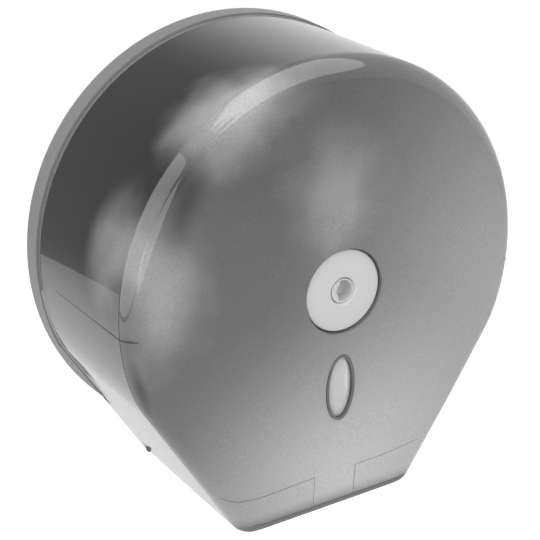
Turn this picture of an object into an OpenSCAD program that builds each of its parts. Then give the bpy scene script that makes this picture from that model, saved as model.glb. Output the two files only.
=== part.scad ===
// Jumbo toilet roll dispenser: a round wall plate with a spindle, a turning core adapter,
// and a smoky drafted cover that hinges down at its bottom corners and locks on the spindle's end.
// The origin is on the roll axis at the wall, +Z is up and the front faces -Y.

/* [Wall plate] */
// Radius of the plate's rim at the wall
plate_r = 135; // [130:1:145]
// How far the rim stands out from the wall
rim_depth = 12; // [10:0.5:14]
// How much smaller the rim's front edge is than its back edge
rim_taper = 1.5; // [1:0.1:2]
// Thickness of the plate's floor
floor_t = 3; // [2.5:0.1:4]
// Thickness of the rim's skin and of the locating wall
plate_wall = 2.5; // [2:0.1:2.8]
// How far the locating wall stands out past the rim
locator_h = 9; // [5:0.5:11]
// Width of the stiffening ribs on the floor
rib_t = 2; // [1.5:0.1:3]
// Height of the stiffening ribs above the floor
rib_h = 4; // [2:0.5:5]
// Distance between wall screw holes, across and up
screw_span = 140; // [110:2:160]
// Diameter of a wall screw hole
wall_hole_d = 5.5; // [4.5:0.1:6.5]

/* [Cover] */
// Radius of the cover's side wall, carried on to the wall plane
cover_r = 133.5; // [133:0.1:134]
// Draft of the side wall, in degrees
draft = 5.3; // [4.5:0.1:6.5]
// Distance from the wall to the crown of the front
cover_depth = 120; // [117:1:128]
// How far the front bulges between its edge and its crown
crown_rise = 3; // [2:0.5:4]
// Radius of the rounded edge round the front
edge_r = 10; // [8:0.5:12]
// Radius of that rounded edge at the bottom corners
corner_edge_r = 13; // [11:0.5:18]
// Angle between the side wall and the rounded edge where they meet in a crease
crease = 10; // [4:1:16]
// Thickness of the cover
shell_t = 2.5; // [2:0.1:3]
// Angle between the flared lower sides and the vertical
flare = 30.6; // [28.6:0.2:33]
// How far the flared sides lie inside the cover's circle
flare_inset = 2; // [1:0.1:2.4]
// Radius of the shoulder between the circle and a flared side
shoulder_r = 80; // [60:5:100]
// Height of the roll axis over the cover's bottom edge
drop = 141.2; // [139:0.1:144]
// Corner radius between side and bottom, at the front
front_corner = 13; // [8:0.5:16]
// Corner radius between side and bottom, at the wall
rear_corner = 5; // [4:0.5:8]
// Gap between the plate's rim and the cover's back edge at the gap's lower ends
seam = 0.8; // [0.6:0.1:1.4]
// How much wider that gap is at the top than at its lower ends
seam_rise = 1.3; // [0:0.1:2]
// Width of the turned-under lip along the front of the paper mouth
lip_w = 9; // [6:0.5:12]
// Height above the axis where the plate's rim ends and the flared wall starts, negative is below
rim_end = -94; // [-98:1:-90]
// Height of the inner guide ribs on the side walls, at their front ends
guide_h = 3; // [2:0.5:4]

/* [Hinge] */
// Distance from the wall to the hinge axis
hinge_y = 10; // [9.6:0.1:11]
// Diameter of the hinge pins
pin_d = 4; // [3:0.5:5]
// Distance from a hinge lug's outer face to the cover's side wall
hinge_inset = 10.9; // [10:0.1:14]
// Thickness of a hinge lug
lug_t = 5; // [4:0.5:7]
// Radius of the lugs and of the cover's hinge bosses
knuckle_r = 5.5; // [4.8:0.1:6]

/* [Spindle] */
// Outer diameter of the spindle post
post_d = 38; // [36:1:40]
// Wall of the spindle post
post_t = 2.5; // [2:0.1:3]
// Distance from the spindle's end to the crown of the cover's front
lock_room = 24.5; // [23:0.5:28]
// Outer diameter of the core adapter, for a 45 mm core
adapter_d = 44; // [43:0.5:46]
// Diameter of the adapter's back flange
adapter_flange_d = 84; // [70:2:100]
// Circle diameter of the spindle's screws
post_screw_pcd = 54; // [50:1:58]

/* [Lock] */
// Diameter of the lock's recess in the cover
recess_d = 48.2; // [48:0.1:52]
// Radius of the recess's rounded edge
recess_lip = 0.7; // [0.4:0.1:1.2]
// Diameter of the light lock disc
disc_d = 46.4; // [44:0.2:47]
// Diameter of the hole in the lock disc
disc_hole_d = 14.6; // [14:0.2:16]
// Thickness of the lock disc
disc_t = 2.2; // [1.8:0.1:2.4]
// Diameter of the lock barrel's body
barrel_d = 9; // [8:0.5:10]
// Diameter of the key socket
socket_d = 12.2; // [10.8:0.2:12.4]
// Depth of the key socket
socket_l = 7; // [5:0.5:8]
// Length of the lock cam from tip to tip
cam_l = 20; // [18:0.5:21]
// Width of the lock cam
cam_w = 8; // [7:0.5:9]
// Thickness of the lock cam
cam_t = 2; // [1.5:0.1:2.5]
// Thickness of the strike plate on the spindle's end
strike_t = 1.5; // [1:0.1:2]

/* [Window] */
// Width of the sight window
window_w = 19; // [16:0.5:22]
// Height of the sight window
window_h = 41; // [36:0.5:46]
// Height of the window's middle above the axis, negative is below
window_z = -57.4; // [-64:0.2:-56]
// Width of the window frame's rim
frame_w = 1.7; // [1.2:0.1:2.5]
// Width of the frame's flange behind the cover
frame_flange = 3; // [2:0.5:4]
// Width of the ledge that the lens sits on
lens_ledge = 1.5; // [1:0.1:2]

/* [Tear bars] */
// Distance between the inner ends of the two tear bars
tear_gap = 28; // [20:1:36]
// Height of the tear bars' top edge above the axis, negative is below
tear_top = -112.5; // [-116:0.5:-110]
// Height of the tear bars' teeth above the axis, negative is below
tear_bottom = -135.5; // [-136:0.5:-132]
// Distance from the wall to a tear bar's back end
tear_back = 62; // [55:1:70]
// Thickness of a tear bar
tear_t = 2; // [1.6:0.1:2.4]
// Pitch of the teeth
tooth_pitch = 3; // [2:0.25:4]
// Height of the teeth
tooth_h = 2.2; // [1.5:0.1:3]

/* [Clearances] */
// Radial clearance of a running fit
run_fit = 0.05; // [0.02:0.01:0.09]
// Gap between pieces that sit on each other
seat_gap = 0.2; // [0.1:0.05:0.3]
// Gap between bodies that move past each other
free_gap = 0.6; // [0.4:0.1:0.9]

/* [Hidden] */
$fn = 96;
far = 400;

// The cover's outline: a circle, two straight flares tangent to it, a flat bottom and two corners
arc_n = 50;
shoulder_n = 4;
corner_n = 6;
flare_steps = [0.45, 0.7, 0.87];
bottom_steps = [0.06, 0.2, 0.8, 0.94];
round_n = 4;
crown_steps = [0.84, 0.62, 0.34];
corner_steps = [0, 0.25, 0.5, 0.75, 1];
crown_slope = atan(2 * crown_rise / cover_r);
edge_z = cover_depth - crown_rise;
edge_start = draft + crease;
round_z = edge_z - edge_r * cos(crown_slope);
side_end = round_z + edge_r * sin(edge_start);
corner_start = 0.55 * side_end;
// The wider rounding ends this far along the bottom, and above this height on the flares
blend_l = 6;
blend_top = -80;
back_gap = 0.8;
lip_z = rim_depth + seam;

function side_r(z) = cover_r - z * tan(draft);
function corner_at(z) = z <= corner_start ? rear_corner
    : rear_corner + (front_corner - rear_corner) * pow((z - corner_start) / (side_end - corner_start), 1.5);

// Half width at height up of an outline whose flares lie at distance r from the axis
function flare_x(r, up) = (r + up * sin(flare)) / cos(flare);
function corner_x(r, b, c) = (r - c - (b - c) * sin(flare)) / cos(flare);
function flare_r(z) = side_r(z) - flare_inset;
function arc_pts(x, up, r, from, to, n, first = 0) = [for (i = [first:n]) let (a = from + (to - from) * i / n)
    [x + r * cos(a), up + r * sin(a)]];
function line_pts(p, q, steps) = [for (k = steps) p + k * (q - p)];
// Outline of circle r over a bottom b below the axis, with corners c and shoulders q
function outline(r, b, c, q) = let (f = r - flare_inset, a = acos((f - q) / (r - q)) - flare,
        x = (r - q) * cos(a), y = (r - q) * sin(a), cx = corner_x(f, b, c),
        high = [x + q * cos(flare), y - q * sin(flare)],
        low = [cx + c * cos(flare), c - b - c * sin(flare)]) concat(
    arc_pts(x, y, q, -flare, a, shoulder_n),
    arc_pts(0, 0, r, a, 180 - a, arc_n, 1),
    arc_pts(-x, y, q, 180 - a, 180 + flare, shoulder_n, 1),
    line_pts([-high[0], high[1]], [-low[0], low[1]], flare_steps),
    arc_pts(-cx, c - b, c, 180 + flare, 270, corner_n),
    line_pts([-cx, -b], [cx, -b], bottom_steps),
    arc_pts(cx, c - b, c, 270, 360 - flare, corner_n),
    line_pts(high, low, [for (i = [len(flare_steps) - 1:-1:0]) flare_steps[i]]));
function raise(pts, z) = [for (p = pts) [p[0], p[1], z]];
// The cover's outline at depth z from the wall, s inside its outer surface
function section(z, s) = outline(side_r(z) - s, drop - s, max(corner_at(z) - s, 1), shoulder_r - s);

// Radius of the rounded edge at each point of the outline, wider near the bottom corners
function ease(t) = let (u = max(0, min(1, t))) u * u * (3 - 2 * u);
bottom_x = corner_x(flare_r(side_end), drop, front_corner);
edge_radii = [for (p = section(side_end, 0)) edge_r + (corner_edge_r - edge_r)
    * ease(min((blend_top - p[1]) / (drop + blend_top), (abs(p[0]) - bottom_x + blend_l) / (front_corner + blend_l)))];
function round_mid(k) = edge_z - edge_radii[k] * cos(crown_slope);
function side_stop(k) = round_mid(k) + edge_radii[k] * sin(edge_start);

// Rings of the cover's skin, d inside its outer surface, from the back edge to the crown
function ring_point(p, z) = [p[0], p[1], z];
function side_ring(t, d) = [for (k = [0:len(edge_radii) - 1]) let (z = corner_start + t * (side_stop(k) - corner_start))
    ring_point(section(z, d)[k], z)];
function round_ring(a, d) = [for (k = [0:len(edge_radii) - 1]) let (r = edge_radii[k])
    ring_point(section(side_stop(k), r * cos(edge_start) - (r - d) * cos(a))[k], round_mid(k) + (r - d) * sin(a))];
function skin_rings(d) = let (last = round_ring(90 - crown_slope, d)) concat(
    [raise(section(back_gap, d), back_gap)],
    [for (t = corner_steps) side_ring(t, d)],
    [for (i = [1:round_n - 1]) round_ring(edge_start + (90 - crown_slope - edge_start) * i / round_n, d)],
    [last],
    [for (k = crown_steps) [for (p = last) [k * p[0], k * p[1], edge_z - d + crown_rise * (1 - k * k)]]]);

// Quads between neighbouring rings of n points, each split in two, starting at point s
function band_faces(rings, n, s, flip) = [for (i = [0:rings - 2], j = [0:n - 1])
    let (a = s + i * n + j, b = s + i * n + (j + 1) % n, c = b + n, e = a + n)
    each (flip ? [[a, c, b], [a, e, c]] : [[a, b, c], [a, c, e]])];
function cap_faces(ring, n, s, tip, flip) = [for (j = [0:n - 1])
    let (a = s + ring * n + j, b = s + ring * n + (j + 1) % n)
    flip ? [a, tip, b] : [a, b, tip]];

// The closed shell: outer skin, inner skin and the flat back edge between them
module skin_solid(d) {
    outer = skin_rings(0);
    inner = skin_rings(d);
    m = len(outer);
    n = len(outer[0]);
    tips = [[0, 0, cover_depth], [0, 0, cover_depth - d]];
    rim = [for (j = [0:n - 1]) let (a = j, b = (j + 1) % n, c = m * n + b, e = m * n + j)
        each [[a, c, b], [a, e, c]]];
    polyhedron(
        points = concat([for (r = outer, p = r) p], [for (r = inner, p = r) p], tips),
        faces = [for (f = concat(
            band_faces(m, n, 0, false),
            cap_faces(m - 1, n, 0, 2 * m * n, false),
            band_faces(m, n, m * n, true),
            cap_faces(m - 1, n, m * n, 2 * m * n + 1, true),
            rim)) [f[0], f[2], f[1]]],
        convexity = 6);
}

// The cavity that the skin leaves at depth d inside its outer surface, as a solid
module skin_core(d) {
    rings = skin_rings(d);
    m = len(rings);
    n = len(rings[0]);
    polyhedron(
        points = concat([for (r = rings, p = r) p], [[0, 0, cover_depth - d], [0, 0, back_gap]]),
        faces = [for (f = concat(
            band_faces(m, n, 0, false),
            cap_faces(m - 1, n, 0, m * n, false),
            cap_faces(0, n, 0, m * n + 1, true))) [f[0], f[2], f[1]]],
        convexity = 4);
}

// Turns a drawing with x across, y up and z away from the wall into the part's own frame
module out(z = 0) rotate([90, 0, 0]) translate([0, 0, z]) children();
module both_sides() {
    children();
    mirror([1, 0, 0]) children();
}
module tube(r_out, r_in, h) difference() {
    cylinder(r = r_out, h = h);
    translate([0, 0, -1]) cylinder(r = r_in, h = h + 2);
}
function oval_pts(w, h, n) = [for (i = [0:n - 1]) [w / 2 * cos(360 * i / n), h / 2 * sin(360 * i / n)]];
module oval(w, h, n = 40) polygon(oval_pts(w, h, n));
// Everything right of the flare plane that lies d inside the cover's outer face
module beyond_flare(d) rotate([0, 0, -flare]) translate([flare_r(0) - d, -far, 0])
    rotate([0, -draft, 0]) translate([0, 0, -far / 2]) cube([far, 2 * far, far]);

// Pan head screw that points to -Z, its head's seat at z = 0
module screw(d, l, head_d, head_h) difference() {
    union() {
        translate([0, 0, -l]) cylinder(d = d, h = l + 0.1);
        cylinder(d = head_d, h = head_h);
    }
    for (a = [0, 90]) rotate([0, 0, a]) translate([-head_d * 0.3, -head_d * 0.06, head_h * 0.45])
        cube([head_d * 0.6, head_d * 0.12, head_h]);
}

// Hinge
hinge_up = -drop + hinge_y - 0.5;
swing_r = hinge_y - 0.5;
lug_x = flare_x(flare_r(hinge_y) - shell_t / cos(draft), hinge_up) - hinge_inset;
boss_x = lug_x + free_gap;
pin_in = 8;

// Wall plate
rim_skin_r = plate_r - rim_taper;
locator_gap = free_gap + 0.3;
locator_r = side_r(lip_z) - shell_t / cos(draft) - locator_gap;
locator_top = rim_depth + locator_h;
flare_locator_r = flare_r(locator_top) - shell_t / cos(draft) - locator_gap;
tail_ease = 1.2;
tail_r = flare_r(0) - shell_t / cos(draft) - free_gap - tail_ease;
tail_x_top = flare_x(tail_r, rim_end);
tail_shoulder = hinge_up + swing_r + free_gap;
tail_x_low = flare_x(tail_r, tail_shoulder);
post_flange_d = post_screw_pcd + 14;
post_flange_t = 4;
rib_start = post_flange_d / 2 + 1;
screw_boss_d = wall_hole_d + 9;
boss_top = floor_t + rib_h + 0.5;
post_screw_d = 4;
post_screw_head_h = 2.2;
// Where the straight locating walls run along the flares, from the middle of each flare
locator_front_r = locator_r - locator_h * tan(draft);
flare_wall_top = sqrt(pow(locator_front_r, 2) - pow(flare_locator_r, 2));
flare_wall_low = (tail_shoulder + plate_wall + flare_locator_r * sin(flare)) / cos(flare);
locator_end = flare_wall_top * cos(flare) - flare_locator_r * sin(flare) - 1.5;
// How far the cover's back edge lifts at the rim's end as it swings
rim_rise = norm([hinge_y - back_gap, rim_end - hinge_up]) - (rim_end - hinge_up);

step_r = flare_locator_r - 1;
// The rim's form, d inside its outer surface; its flats follow the flares, so that it stands out
// from the cover as little there as it does on the circle
rim_flat = flare_r(lip_z) + rim_skin_r - side_r(lip_z);
function rim_r(z, d) = plate_r - d - rim_taper * z / rim_depth;
module rim_body(d, low, top) difference() {
    translate([0, 0, low]) cylinder(r1 = rim_r(low, d), r2 = rim_r(top, d), h = top - low, $fn = 180);
    both_sides() rotate([0, 0, -flare]) translate([plate_r - d, -far, 0])
        rotate([0, -atan((plate_r - rim_flat) / rim_depth), 0]) translate([0, 0, -far / 2])
            cube([far, 2 * far, far]);
}
module locator_profile() polygon([
    [locator_r - plate_wall, 0],
    [locator_r, 0],
    [locator_r, lip_z],
    [locator_front_r, locator_top],
    [locator_front_r - plate_wall, locator_top],
]);
module tail_outline() polygon([
    [-tail_x_top, rim_end], [-tail_x_low, tail_shoulder], [-lug_x, tail_shoulder],
    [-lug_x, hinge_up - knuckle_r], [lug_x, hinge_up - knuckle_r], [lug_x, tail_shoulder],
    [tail_x_low, tail_shoulder], [tail_x_top, rim_end],
]);
module hinge_lug() translate([lug_x - lug_t, hinge_up, 0]) rotate([0, 90, 0]) rotate([0, 0, 90])
    linear_extrude(lug_t) {
        translate([0, hinge_y]) circle(r = knuckle_r);
        translate([-knuckle_r, 0]) square([2 * knuckle_r, hinge_y]);
    }

module back_plate() color("gainsboro") out() difference() {
    union() {
        difference() {
            rim_body(0, 0, rim_depth);
            rim_body(plate_wall, -1, rim_depth - plate_wall);
            translate([0, 0, -1]) cylinder(r = step_r, h = rim_depth + 2, $fn = 180);
            translate([-far / 2, rim_end - far, -1]) cube([far, far, far]);
        }
        intersection() {
            rotate_extrude($fn = 180) locator_profile();
            translate([-far / 2, locator_end, -1]) cube([far, far, far]);
        }
        both_sides() rotate([0, 0, -flare]) translate([flare_locator_r - plate_wall, flare_wall_low, 0])
            cube([plate_wall, flare_wall_top - flare_wall_low, locator_top]);
        intersection() {
            cylinder(r = locator_r - 1, h = floor_t, $fn = 180);
            translate([-far / 2, rim_end, -1]) cube([far, far, far]);
        }
        linear_extrude(floor_t) tail_outline();
        for (i = [0:11]) rotate([0, 0, 15 + 30 * i]) translate([rib_start, -rib_t / 2, floor_t / 2])
            cube([step_r - rib_start, rib_t, rib_h + floor_t / 2]);
        tube(post_flange_d / 2 + 1 + rib_t, post_flange_d / 2 + seat_gap, boss_top);
        for (x = [-1, 1], y = [-1, 1]) translate([x * screw_span / 2, y * screw_span / 2, 0])
            cylinder(d = screw_boss_d, h = boss_top);
        both_sides() hinge_lug();
    }
    for (x = [-1, 1], y = [-1, 1]) translate([x * screw_span / 2, y * screw_span / 2, -1])
        cylinder(d = wall_hole_d, h = rim_depth);
    for (a = [45:90:315]) rotate([0, 0, a]) translate([post_screw_pcd / 2, 0, 0.5])
        cylinder(d = post_screw_d, h = floor_t);
    both_sides() translate([lug_x - lug_t - 1, hinge_up, hinge_y]) rotate([0, 90, 0])
        cylinder(d = pin_d, h = lug_t + 2);
}

module hinge_pins() color("silver") out() both_sides() translate([lug_x - lug_t, hinge_up, hinge_y])
    rotate([0, 90, 0]) cylinder(d = pin_d, h = lug_t + free_gap + pin_in);

// Spindle
post_end = cover_depth - lock_room;
post_r = post_d / 2;
post_bore = post_r - post_t;
strike_screw_x = post_bore - 2;
strike_screw_d = 2.5;
strike_screw_l = 7.5;
strike_head_d = 4.4;
strike_head_h = 1.5;
strike_boss_d = 5.4;
strike_boss_l = strike_screw_l + 4.5;
washer_t = post_screw_head_h + 0.6;
adapter_back = floor_t + post_flange_t + washer_t + seat_gap;
adapter_t = (adapter_d - post_d) / 2 - run_fit;
window_pcd = (adapter_flange_d + adapter_d) / 2 + 2;
clip_t = 1.2;
clip_groove = 1;
clip_end = post_end - 0.7;
adapter_front = clip_end - clip_t - seat_gap;

module spindle_post() color("gainsboro") out() difference() {
    union() {
        translate([0, 0, floor_t]) cylinder(d = post_flange_d, h = post_flange_t);
        translate([0, 0, floor_t]) cylinder(r = post_r, h = post_end - floor_t);
    }
    translate([0, 0, floor_t - 1]) difference() {
        cylinder(r = post_bore, h = far);
        both_sides() translate([strike_screw_x, 0, post_end - floor_t + 1 - strike_boss_l])
            cylinder(d = strike_boss_d, h = strike_boss_l);
    }
    both_sides() translate([strike_screw_x, 0, post_end - strike_screw_l - 1.5]) cylinder(d = strike_screw_d, h = far);
    for (a = [45:90:315]) rotate([0, 0, a]) translate([post_screw_pcd / 2, 0, 0])
        cylinder(d = post_screw_d + 2 * run_fit, h = 20);
    translate([0, 0, clip_end - clip_t]) tube(post_r + 1, post_r - clip_groove, clip_t);
}

module spindle_screws() color("silver") out(floor_t + post_flange_t)
    for (a = [45:90:315]) rotate([0, 0, a]) translate([post_screw_pcd / 2, 0, 0])
        screw(post_screw_d, post_flange_t + floor_t - 0.6, 2 * post_screw_d - 1, post_screw_head_h);

module thrust_washer() color("white") out(floor_t + post_flange_t)
    tube(post_r + 3.4, post_r + 2 * run_fit, washer_t);

module core_adapter() color("whitesmoke") out() difference() {
    rotate_extrude() polygon([
        [post_r + run_fit, adapter_back],
        [adapter_flange_d / 2, adapter_back],
        [adapter_flange_d / 2, adapter_back + 2],
        [adapter_d / 2 + 2, adapter_back + 2],
        [adapter_d / 2, adapter_back + 4],
        [adapter_d / 2, adapter_front - 3],
        [adapter_d / 2 - adapter_t / 2, adapter_front],
        [post_r + run_fit, adapter_front],
    ]);
    for (i = [0:5]) rotate([0, 0, 60 * i]) translate([window_pcd / 2, 0, adapter_back - 1])
        cylinder(d = (adapter_flange_d - adapter_d) / 2 - 9, h = 4);
}

module adapter_clip() color("silver") out(clip_end - clip_t + 0.05) difference() {
    tube(post_r + 1.6, post_r - clip_groove + run_fit, clip_t - 0.1);
    translate([-2, -far, -1]) cube([4, far, 4]);
}

// Lock
cup_wall = 2.5;
cup_floor = 2.5;
disc_front = cover_depth - 1.6;
disc_chamfer = 1.2;
disc_rim = (disc_d - disc_hole_d) / 2 - 0.4;
disc_back = disc_front - disc_t;
cup_back = disc_back - seat_gap - cup_floor;
head_d = disc_hole_d - 4 * seat_gap;
head_t = socket_l + 1.5;
head_front = disc_front - 0.9;
nose_r = head_d / 2 + 2.2;
flange_t = 2.3;
flange_back = cup_back - seat_gap - flange_t;
housing_screw_pcd = 2 * nose_r + 14;
housing_screw_d = 2.6;
housing_head_d = 4.6;
housing_head_h = 1.6;
housing_edge = 3.4;
housing_back = post_end + strike_t + 3;
slip_t = 1;
barrel_clip_back = housing_back - seat_gap - slip_t;
neck_d = 7;
cam_front = post_end - 1.5;
cam_back = cam_front - cam_t;
cam_sq = 5;
cam_screw_d = 3;
cam_screw_head_h = 1.8;
cam_screw_head_d = 6.4;
cam_screw_l = 6.5;
swing_slope = -hinge_up / (post_end - hinge_y);
cam_travel = post_end + strike_t - cam_back;
cam_drop = cam_travel / swing_slope * 1.12;
slot_w = cam_w + 2 * free_gap;
slot_top = cam_l / 2 + free_gap;
slot_low = cam_l / 2 + free_gap + cam_drop;

module lock_strike() color("silver") out(post_end) difference() {
    cylinder(r = post_r - seat_gap, h = strike_t);
    translate([-slot_w / 2, -slot_low, -1]) cube([slot_w, slot_low + slot_top, strike_t + 2]);
    both_sides() translate([strike_screw_x, 0, -1])
        cylinder(d = strike_screw_d + 2 * run_fit, h = strike_t + 2);
}

module strike_screws() color("silver") out(post_end + strike_t)
    both_sides() translate([strike_screw_x, 0, 0]) screw(strike_screw_d, strike_screw_l, strike_head_d, strike_head_h);

module lock_disc() color("lightgray") out() rotate_extrude() polygon(concat(
    [[disc_hole_d / 2, disc_back], [disc_d / 2, disc_back], [disc_d / 2, disc_front - 0.9]],
    [for (i = [0:6]) let (k = 1 - i / 6) [disc_hole_d / 2 + disc_chamfer + k * (disc_rim - disc_chamfer),
        disc_front - 0.5 * k * k]],
    [[(disc_hole_d + disc_chamfer) / 2, disc_front - 0.3], [disc_hole_d / 2, disc_front - disc_chamfer]]));

module lock_housing() color("dimgray") out() difference() {
    rotate_extrude() polygon([
        [barrel_d / 2 + run_fit, housing_back],
        [nose_r, housing_back],
        [nose_r, flange_back],
        [housing_screw_pcd / 2 + housing_edge, flange_back],
        [housing_screw_pcd / 2 + housing_edge, flange_back + flange_t],
        [nose_r, flange_back + flange_t],
        [nose_r, disc_back - seat_gap],
        [head_d / 2 + 2 * seat_gap, disc_back - seat_gap],
        [head_d / 2 + 2 * seat_gap, head_front - head_t - seat_gap],
        [barrel_d / 2 + run_fit, head_front - head_t - seat_gap],
    ]);
    for (a = [90:120:330]) rotate([0, 0, a]) translate([housing_screw_pcd / 2, 0, flange_back - 1])
        cylinder(d = housing_screw_d + 2 * run_fit, h = 8);
}

module housing_screws() color("silver") out(flange_back) rotate([0, 180, 0])
    for (a = [90:120:330]) rotate([0, 0, a]) translate([housing_screw_pcd / 2, 0, 0])
        screw(housing_screw_d, flange_t + seat_gap + cup_floor - 0.2, housing_head_d, housing_head_h);

// The socket: round on the right, with a toothed ward across its left side
module socket_shape() difference() {
    circle(d = socket_d);
    polygon([
        [-socket_d, -socket_d], [-socket_d * 0.2, -socket_d], [-socket_d * 0.2, -socket_d * 0.22],
        [-socket_d * 0.29, -socket_d * 0.14], [-socket_d * 0.29, -socket_d * 0.05],
        [-socket_d * 0.36, 0], [-socket_d * 0.27, socket_d * 0.1], [-socket_d * 0.27, socket_d * 0.22],
        [-socket_d * 0.16, socket_d * 0.28], [-socket_d * 0.16, socket_d], [-socket_d, socket_d],
    ]);
}

module lock_barrel() color("lightgray") out() difference() {
    union() {
        translate([0, 0, head_front - head_t]) cylinder(d = head_d, h = head_t);
        translate([0, 0, barrel_clip_back - 1]) cylinder(d = barrel_d, h = head_front - barrel_clip_back - 1);
        translate([0, 0, cam_front]) cylinder(d = neck_d, h = barrel_clip_back - cam_front);
        translate([-cam_sq / 2, -cam_sq / 2, cam_back + 0.1]) cube([cam_sq, cam_sq, cam_t + 1]);
    }
    translate([0, 0, head_front - socket_l]) linear_extrude(socket_l + 1) socket_shape();
    translate([0, 0, barrel_clip_back]) tube(barrel_d, barrel_d / 2 - 1, slip_t);
    translate([0, 0, cam_back - 1]) cylinder(d = cam_screw_d, h = cam_screw_l + 1.5);
}

module barrel_clip() color("silver") out(barrel_clip_back + 0.05) difference() {
    tube(barrel_d / 2 + 1.4, barrel_d / 2 - 1 + run_fit, slip_t - 0.1);
    translate([-1.5, 0, -1]) cube([3, far, 4]);
}

module lock_cam() color("silver") out(cam_back) difference() {
    intersection() {
        translate([-cam_w / 2, -cam_l / 2, 0]) cube([cam_w, cam_l, cam_t]);
        cylinder(d = cam_l, h = cam_t);
    }
    translate([-cam_sq / 2 - run_fit, -cam_sq / 2 - run_fit, -1])
        cube([cam_sq + 2 * run_fit, cam_sq + 2 * run_fit, cam_t + 2]);
}

module cam_screw() color("silver") out(cam_back) rotate([0, 180, 0])
    screw(cam_screw_d, cam_screw_l, cam_screw_head_d, cam_screw_head_h);

// Window
window_floor = edge_z + crown_rise * (1 - pow((-window_z + window_h / 2 + 5) / drop, 2)) - shell_t - 0.4;
flange_depth = 1.6;
lens_t = 3.2;

module window_frame() color("dimgray") out() translate([0, window_z, 0]) difference() {
    union() {
        translate([0, 0, window_floor - flange_depth]) linear_extrude(flange_depth)
            oval(window_w + 2 * frame_flange, window_h + 2 * frame_flange);
        translate([0, 0, window_floor - flange_depth]) linear_extrude(cover_depth - window_floor + flange_depth)
            oval(window_w - 2 * seat_gap, window_h - 2 * seat_gap);
    }
    translate([0, 0, window_floor]) linear_extrude(9) oval(window_w - 2 * frame_w, window_h - 2 * frame_w);
    translate([0, 0, window_floor - 4]) linear_extrude(9)
        oval(window_w - 2 * frame_w - 2 * lens_ledge, window_h - 2 * frame_w - 2 * lens_ledge);
}

// The lens: an oval plate whose front is domed by ever smaller rings
module window_lens() color("lightsteelblue") out() translate([0, window_z, window_floor + 0.05]) {
    n = 40;
    w = window_w - 2 * frame_w - 2 * seat_gap;
    h = window_h - 2 * frame_w - 2 * seat_gap;
    steps = [[1, 0], [1, 0.6], [0.9, 0.8], [0.7, 1], [0.4, 1.13]];
    rings = [for (s = steps) raise(oval_pts(w * s[0], h * s[0], n), s[1] * lens_t)];
    polyhedron(
        points = concat([for (r = rings, p = r) p], [[0, 0, 0], [0, 0, 1.2 * lens_t]]),
        faces = [for (f = concat(
            band_faces(len(rings), n, 0, false),
            cap_faces(0, n, 0, len(rings) * n, true),
            cap_faces(len(rings) - 1, n, 0, len(rings) * n + 1, false))) [f[0], f[2], f[1]]],
        convexity = 4);
}

// Tear bars, drawn on the right side: a band of the cover's own form, just inside its skin
tear_seat = shell_t + seat_gap;

// A row of V notches along x that leaves teeth pointing down at y = 0
module tooth_row(l) {
    n = ceil(l / tooth_pitch);
    polygon(concat([[0, -far]],
        [for (i = [0:n - 1]) each [[i * tooth_pitch, 0], [(i + 0.5) * tooth_pitch, tooth_h]]],
        [[n * tooth_pitch, 0], [n * tooth_pitch, -far]]));
}

module tear_bar() difference() {
    intersection() {
        skin_core(tear_seat);
        translate([tear_gap / 2, tear_bottom, tear_back]) cube([far, tear_top - tear_bottom, far]);
    }
    skin_core(tear_seat + tear_t);
    translate([tear_gap / 2, tear_bottom, round_z]) linear_extrude(far) tooth_row(far / 4);
    translate([0, tear_bottom, tear_back]) rotate([0, 90, 0]) mirror([1, 0, 0])
        linear_extrude(far) tooth_row(round_z - tear_back);
}

module tear_bar_right() color("gainsboro") out() tear_bar();
module tear_bar_left() color("gainsboro") out() mirror([1, 0, 0]) tear_bar();

// Cover
mouth_back_x = flare_x(flare_r(0) - shell_t / cos(draft), -drop);
mouth_mid_x = flare_x(flare_r(corner_start) - shell_t / cos(draft), -drop);
mouth_front_z = side_end - lip_w;
mouth_front_x = bottom_x + 3;
mouth_cut = 3 * shell_t + 4;
cup_l = cover_depth - shell_t / 2 - cup_back - 0.4;
guide_t = 1.2;
guide_angle = 2;
guide_back = side_end / 2;
notch_end = rim_end - rim_rise - free_gap;

// The recess with its rounded edge, and the hole through its floor
module recess_cut() rotate_extrude() polygon(concat(
    [[0, cup_back - 1], [nose_r + seat_gap, cup_back - 1], [nose_r + seat_gap, cup_back + cup_floor],
        [recess_d / 2, cup_back + cup_floor]],
    [for (i = [0:5]) let (a = 90 * i / 5) [recess_d / 2 + recess_lip * (1 - cos(a)),
        cover_depth - recess_lip * (1 - sin(a))]],
    [[recess_d / 2 + recess_lip, cover_depth + 1], [0, cover_depth + 1]]));

// Guide rib on the right side: a fin along the inside of the wall that ends in the rounded edge
module guide_rib() rotate([0, 0, -guide_angle]) translate([0, guide_t / 2, 0]) rotate([90, 0, 0]) linear_extrude(guide_t) {
    mid = side_r(side_end) - edge_r * cos(edge_start);
    r = edge_r - shell_t / 2;
    polygon([
        [side_r(guide_back) - shell_t / 2, guide_back], [side_r(side_end) - shell_t / 2, side_end],
        [mid + r * cos(45), round_z + r * sin(45)], [mid, round_z + r - 0.2], [mid, round_z + r - shell_t - guide_h],
        [side_r(side_end) - shell_t - guide_h, side_end - guide_h], [side_r(guide_back) - shell_t, guide_back],
    ]);
}

module hinge_boss() difference() {
    translate([boss_x, hinge_up, hinge_y]) rotate([0, 90, 0]) cylinder(r = knuckle_r, h = 30);
    beyond_flare(shell_t / 2);
}

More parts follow.
